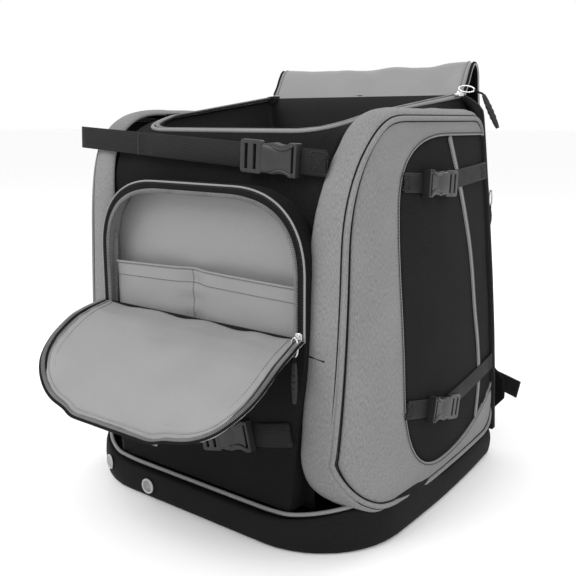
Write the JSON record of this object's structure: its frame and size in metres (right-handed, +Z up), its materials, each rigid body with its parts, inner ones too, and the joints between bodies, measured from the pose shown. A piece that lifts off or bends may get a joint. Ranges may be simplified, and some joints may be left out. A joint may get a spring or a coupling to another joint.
{
  "type": "ski boot bag",
  "caption": "Upright rucksack for ski boots, with a zipped boot compartment on each side, a central compartment under a fold-back lid, and a front pocket whose flap hangs open.",
  "frame": {"origin": "on the floor under the middle of the base", "axes": "+Z up, -Y towards the front pocket, +Y towards the wearer's back, +X to the right seen from the front"},
  "size_m": [0.4336, 0.5127, 0.5053],
  "materials": {
    "grey_fabric": "heathered woven polyester, matt",
    "black_fabric": "woven polyester, matt",
    "base_fabric": "coated fabric over foam, matt",
    "lining": "satin-weave lining with a soft sheen",
    "webbing": "ribbed woven polyester webbing",
    "grey_trim": "piping and tape, matt",
    "buckle_plastic": "moulded acetal, satin",
    "vent_plastic": "moulded plastic, matt",
    "zip_metal": "bright nickel-plated",
    "pull_rubber": "soft moulded grip on a cord"
  },
  "bodies": {
    "bag": {"main_shell": "black_fabric", "back_panel": "black_fabric", "boot_shell_right": "grey_fabric", "boot_shell_left": "grey_fabric", "base_boot": "base_fabric", "base_piping": "grey_trim", "vent_front": "vent_plastic", "vent_corner": "vent_plastic", "front_pocket_shell": "black_fabric", "glove_sleeve": "lining", "top_strap_webbing_right": "webbing", "top_strap_webbing_left": "webbing", "top_strap_buckle_female": "buckle_plastic", "low_strap_webbing_right": "webbing", "low_strap_webbing_left": "webbing", "low_strap_buckle_female": "buckle_plastic", "back_pad": "black_fabric", "strap_wing_right": "black_fabric", "strap_wing_left": "black_fabric", "shoulder_webbing_right": "webbing", "shoulder_webbing_left": "webbing"},
    "front_flap": {"front_flap": "lining"},
    "lid_rise": {"lid_rise": "lining"},
    "lid_fall": {"lid_fall": "lining"},
    "top_strap_male": {"top_strap_buckle_male": "buckle_plastic", "top_strap_tail": "webbing"},
    "low_strap_male": {"low_strap_buckle_male": "buckle_plastic"},
    "side_strap_upper_right_male": {"side_strap_upper_right_buckle_male": "buckle_plastic"},
    "side_strap_lower_right_male": {"side_strap_lower_right_buckle_male": "buckle_plastic"},
    "boot_door_right": {"boot_door_right": "grey_fabric", "side_stripe_right": "grey_trim", "side_strap_upper_right_webbing_front": "webbing", "side_strap_upper_right_webbing_rear": "webbing", "side_strap_upper_right_buckle_female": "buckle_plastic", "side_strap_lower_right_webbing_front": "webbing", "side_strap_lower_right_webbing_rear": "webbing", "side_strap_lower_right_buckle_female": "buckle_plastic"},
    "shoulder_strap_right": {"shoulder_strap_right": "black_fabric", "ladder_lock_right": "buckle_plastic"},
    "side_strap_upper_left_male": {"side_strap_upper_left_buckle_male": "buckle_plastic"},
    "side_strap_lower_left_male": {"side_strap_lower_left_buckle_male": "buckle_plastic"},
    "boot_door_left": {"boot_door_left": "grey_fabric", "side_stripe_left": "grey_trim", "side_strap_upper_left_webbing_front": "webbing", "side_strap_upper_left_webbing_rear": "webbing", "side_strap_upper_left_buckle_female": "buckle_plastic", "side_strap_lower_left_webbing_front": "webbing", "side_strap_lower_left_webbing_rear": "webbing", "side_strap_lower_left_buckle_female": "buckle_plastic"},
    "shoulder_strap_left": {"shoulder_strap_left": "black_fabric", "ladder_lock_left": "buckle_plastic"},
    "front_zip_slider": {"front_zip_slider": "zip_metal"},
    "front_zip_pull": {"front_zip_pull": "pull_rubber"},
    "boot_zip_right_slider": {"boot_zip_right_slider": "zip_metal"},
    "boot_zip_right_pull": {"boot_zip_right_pull": "pull_rubber"},
    "boot_zip_left_slider": {"boot_zip_left_slider": "zip_metal"},
    "boot_zip_left_pull": {"boot_zip_left_pull": "pull_rubber"},
    "lid_zip_slider": {"lid_zip_slider": "zip_metal"},
    "lid_zip_pull": {"lid_zip_pull": "pull_rubber"},
    "haul_handle": {"haul_handle": "webbing"}
  },
  "joints": [
    {"name": "front_flap_hinge", "type": "hinge", "parent": "bag", "child": "front_flap", "pos_m": [0, -0.19, 0.222], "axis": [1, 0, 0], "range_deg": [-125, 45]},
    {"name": "lid_hinge", "type": "hinge", "parent": "bag", "child": "lid_rise", "pos_m": [0, 0.129, 0.4685], "axis": [1, 0, 0], "range_deg": [0, 129.6]},
    {"name": "lid_fold", "type": "hinge", "parent": "lid_rise", "child": "lid_fall", "pos_m": [0, 0.152, 0.508], "axis": [1, 0, 0], "range_deg": [0, 133.8]},
    {"name": "boot_door_right_hinge", "type": "hinge", "parent": "bag", "child": "boot_door_right", "pos_m": [0.15, -0.19, 0.23], "axis": [0, 0, -1], "range_deg": [0, 55], "deforming": ["lid_zip_pull"]},
    {"name": "boot_door_left_hinge", "type": "hinge", "parent": "bag", "child": "boot_door_left", "pos_m": [-0.15, -0.19, 0.23], "axis": [0, 0, 1], "range_deg": [0, 55], "deforming": ["top_strap_tail"]},
    {"name": "top_strap_release", "type": "slide", "parent": "bag", "child": "top_strap_male", "axis": [-0.9985, 0, 0.055], "range_m": [0, 0.026]},
    {"name": "low_strap_release", "type": "slide", "parent": "bag", "child": "low_strap_male", "axis": [-0.9725, 0, -0.2328], "range_m": [0, 0.026]},
    {"name": "side_strap_upper_right_release", "type": "slide", "parent": "boot_door_right", "child": "side_strap_upper_right_male", "axis": [-0.0368, 0.9973, -0.063], "range_m": [0, 0.026]},
    {"name": "side_strap_lower_right_release", "type": "slide", "parent": "boot_door_right", "child": "side_strap_lower_right_male", "axis": [-0.0409, 0.9734, -0.2256], "range_m": [0, 0.026]},
    {"name": "side_strap_upper_left_release", "type": "slide", "parent": "boot_door_left", "child": "side_strap_upper_left_male", "axis": [0.0368, 0.9973, -0.063], "range_m": [0, 0.026]},
    {"name": "side_strap_lower_left_release", "type": "slide", "parent": "boot_door_left", "child": "side_strap_lower_left_male", "axis": [0.0409, 0.9734, -0.2256], "range_m": [0, 0.026]},
    {"name": "front_zip_slide", "type": "slide", "parent": "bag", "child": "front_zip_slider", "axis": [0, 0, 1], "range_m": [0, 0.058]},
    {"name": "front_zip_pull_hinge", "type": "hinge", "parent": "front_zip_slider", "child": "front_zip_pull", "pos_m": [0.142, -0.1976, 0.228], "axis": [-1, 0, 0], "range_deg": [0, 90]},
    {"name": "boot_zip_right_slide", "type": "slide", "parent": "bag", "child": "boot_zip_right_slider", "axis": [0.0347, 0.1169, -0.9925], "range_m": [0, 0.18]},
    {"name": "boot_zip_right_pull_hinge", "type": "hinge", "parent": "boot_zip_right_slider", "child": "boot_zip_right_pull", "pos_m": [0.18072, 0.14846, 0.347], "axis": [0.6763, -0.7366, 0], "range_deg": [0, 90]},
    {"name": "boot_zip_left_slide", "type": "slide", "parent": "bag", "child": "boot_zip_left_slider", "axis": [-0.0347, 0.1169, -0.9925], "range_m": [0, 0.18]},
    {"name": "boot_zip_left_pull_hinge", "type": "hinge", "parent": "boot_zip_left_slider", "child": "boot_zip_left_pull", "pos_m": [-0.18072, 0.14846, 0.347], "axis": [0.6763, 0.7366, 0], "range_deg": [0, 90]},
    {"name": "lid_zip_slide", "type": "slide", "parent": "bag", "child": "lid_zip_slider", "axis": [0, -0.9898, -0.1425], "range_m": [0, 0.085]},
    {"name": "lid_zip_pull_hinge", "type": "hinge", "parent": "lid_zip_slider", "child": "lid_zip_pull", "pos_m": [0.154, 0.104, 0.469], "axis": [0, -1, 0], "range_deg": [0, 110]},
    {"name": "shoulder_strap_right_hinge", "type": "hinge", "parent": "bag", "child": "shoulder_strap_right", "pos_m": [0, 0.16329, 0.39475], "axis": [1, 0, 0], "range_deg": [0, 12], "deforming": ["shoulder_webbing_right"]},
    {"name": "shoulder_strap_left_hinge", "type": "hinge", "parent": "bag", "child": "shoulder_strap_left", "pos_m": [0, 0.16329, 0.39475], "axis": [1, 0, 0], "range_deg": [0, 12], "deforming": ["shoulder_webbing_left"]},
    {"name": "haul_handle_hinge", "type": "hinge", "parent": "bag", "child": "haul_handle", "pos_m": [0, 0.14448, 0.43483], "axis": [1, 0, 0], "range_deg": [0, 55]}
  ],
  "couplings": [
    {"joint": "lid_fold", "follows": "lid_hinge", "ratio": 1.0323}
  ]
}
